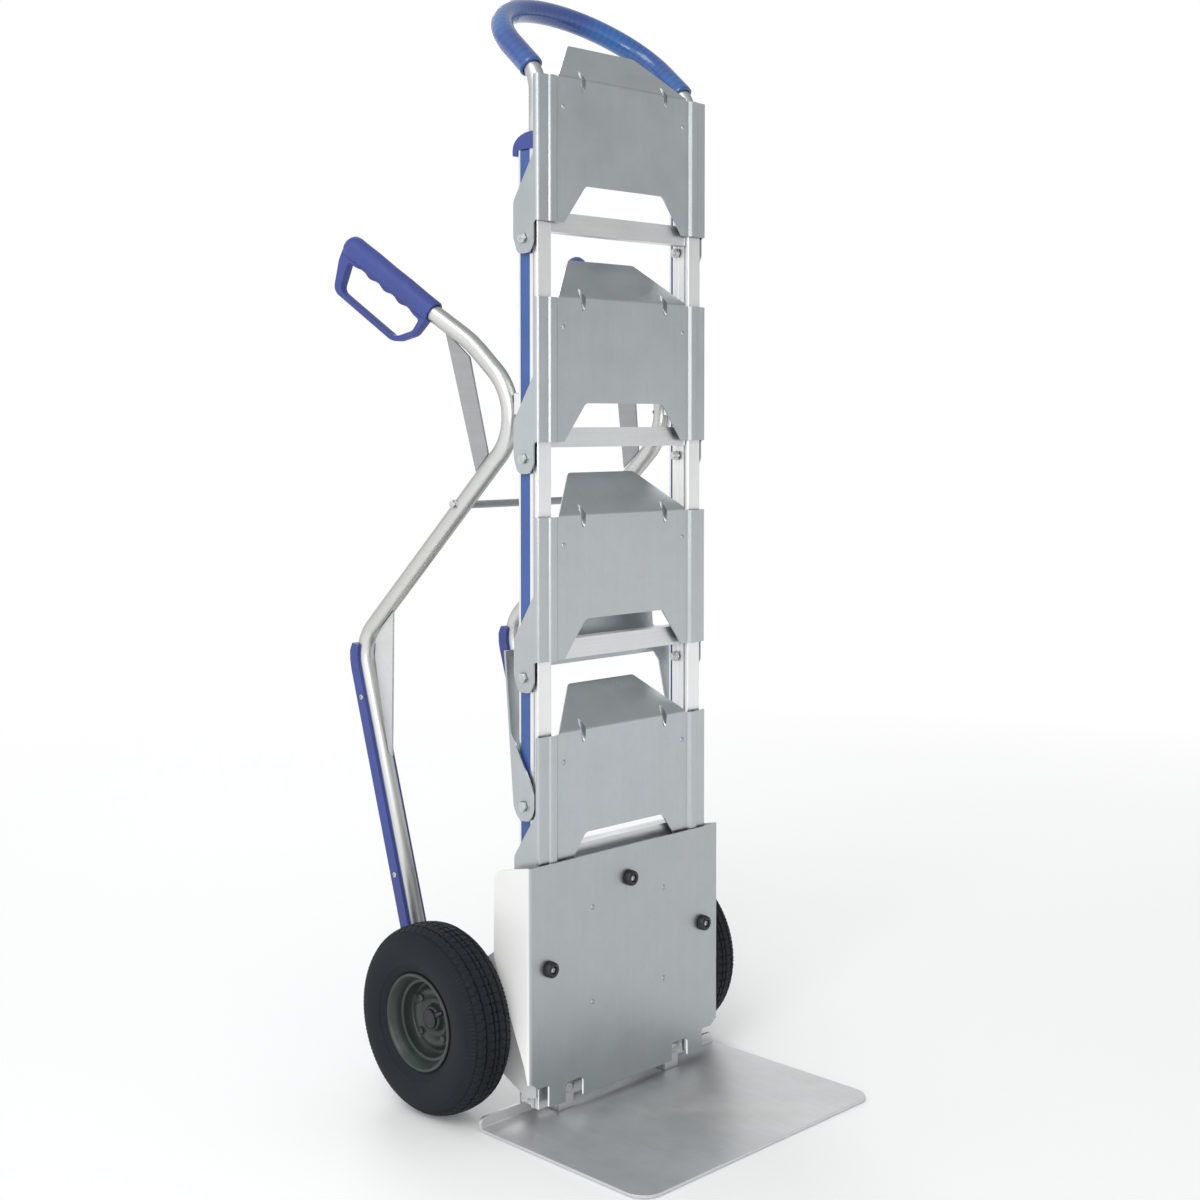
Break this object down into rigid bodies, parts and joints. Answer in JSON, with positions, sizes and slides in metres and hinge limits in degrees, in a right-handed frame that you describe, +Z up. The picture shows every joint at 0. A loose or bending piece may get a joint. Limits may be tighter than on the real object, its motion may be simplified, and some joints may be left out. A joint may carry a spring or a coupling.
{
  "type": "stair climbing trolley",
  "caption": "Tall aluminium hand trolley for bottles: tip-up trays, toe plate, two pneumatic wheels, rear stair struts with skids and guarded hand grips, arched push handle.",
  "frame": {"origin": "on the floor, on the left-right mid-plane, at the front face of the two uprights", "axes": "+X to the right seen from the loading side, -Y is the loading side, +Z up"},
  "size_m": [0.54, 0.6769, 1.5619],
  "materials": {
    "mill_aluminium": "satin mill finish",
    "aluminium_sheet": "brushed satin sheet",
    "blue_plastic": "matte moulded plastic",
    "glossy_blue_grip": "glossy ribbed sleeve",
    "tyre_rubber": "tyre rubber",
    "rim_paint": "dark satin paint",
    "zinc_steel": "zinc plated",
    "black_rubber": "moulded rubber"
  },
  "bodies": {
    "frame": {"axle": "zinc_steel", "axle_plate_left": "mill_aluminium", "axle_plate_right": "mill_aluminium", "blue_strip_left": "blue_plastic", "blue_strip_right": "blue_plastic", "bottom_rung": "mill_aluminium", "end_cap_left": "blue_plastic", "end_cap_right": "blue_plastic", "front_plate": "aluminium_sheet", "hand_grip_left": "blue_plastic", "hand_grip_right": "blue_plastic", "handle_sleeve": "glossy_blue_grip", "handle_tube": "mill_aluminium", "lower_gusset_left": "mill_aluminium", "lower_gusset_right": "mill_aluminium", "plate_rail_1": "mill_aluminium", "plate_rail_2": "mill_aluminium", "rear_crossbar": "mill_aluminium", "rubber_buffer_left": "black_rubber", "rubber_buffer_right": "black_rubber", "rubber_buffer_top": "black_rubber", "rung_1": "mill_aluminium", "rung_2": "mill_aluminium", "rung_3": "mill_aluminium", "rung_4": "mill_aluminium", "stair_skid_left": "blue_plastic", "stair_skid_right": "blue_plastic", "stand_bolt_left": "zinc_steel", "stand_bolt_right": "zinc_steel", "strut_bracket_left": "mill_aluminium", "strut_bracket_right": "mill_aluminium", "strut_left": "mill_aluminium", "strut_right": "mill_aluminium", "toe_bolt_left": "zinc_steel", "toe_bolt_right": "zinc_steel", "toe_bracket_left": "mill_aluminium", "toe_bracket_right": "mill_aluminium", "toe_plate": "aluminium_sheet", "tray_1_bolt_left": "zinc_steel", "tray_1_bolt_right": "zinc_steel", "tray_2_bolt_left": "zinc_steel", "tray_2_bolt_right": "zinc_steel", "tray_3_bolt_left": "zinc_steel", "tray_3_bolt_right": "zinc_steel", "tray_4": "aluminium_sheet", "tray_4_bolt_left": "zinc_steel", "tray_4_bolt_right": "zinc_steel", "upper_brace_left": "mill_aluminium", "upper_brace_right": "mill_aluminium", "upright_left": "mill_aluminium", "upright_right": "mill_aluminium"},
    "tray_upper": {"tray_1": "aluminium_sheet"},
    "tray_second": {"tray_2": "aluminium_sheet"},
    "tray_third": {"tray_3": "aluminium_sheet"},
    "stand": {"rear_stand": "aluminium_sheet"},
    "wheel_left": {"tyre_left": "tyre_rubber", "rim_left": "rim_paint"},
    "wheel_right": {"tyre_right": "tyre_rubber", "rim_right": "rim_paint"}
  },
  "joints": [
    {"name": "tray_1_tip", "type": "hinge", "parent": "frame", "child": "tray_upper", "pos_m": [0, 0.022, 1.199], "axis": [1, 0, 0], "range_deg": [0, 90]},
    {"name": "tray_2_tip", "type": "hinge", "parent": "frame", "child": "tray_second", "pos_m": [0, 0.022, 0.903], "axis": [1, 0, 0], "range_deg": [0, 90]},
    {"name": "tray_3_tip", "type": "hinge", "parent": "frame", "child": "tray_third", "pos_m": [0, 0.022, 0.607], "axis": [1, 0, 0], "range_deg": [0, 90]},
    {"name": "stand_swing", "type": "hinge", "parent": "frame", "child": "stand", "pos_m": [0, 0.022, 0.432], "axis": [1, 0, 0], "range_deg": [-90, 0]},
    {"name": "wheel_left_spin", "type": "hinge", "parent": "frame", "child": "wheel_left", "pos_m": [-0.23, 0.137, 0.13], "axis": [1, 0, 0], "continuous": true},
    {"name": "wheel_right_spin", "type": "hinge", "parent": "frame", "child": "wheel_right", "pos_m": [0.23, 0.137, 0.13], "axis": [1, 0, 0], "continuous": true}
  ]
}
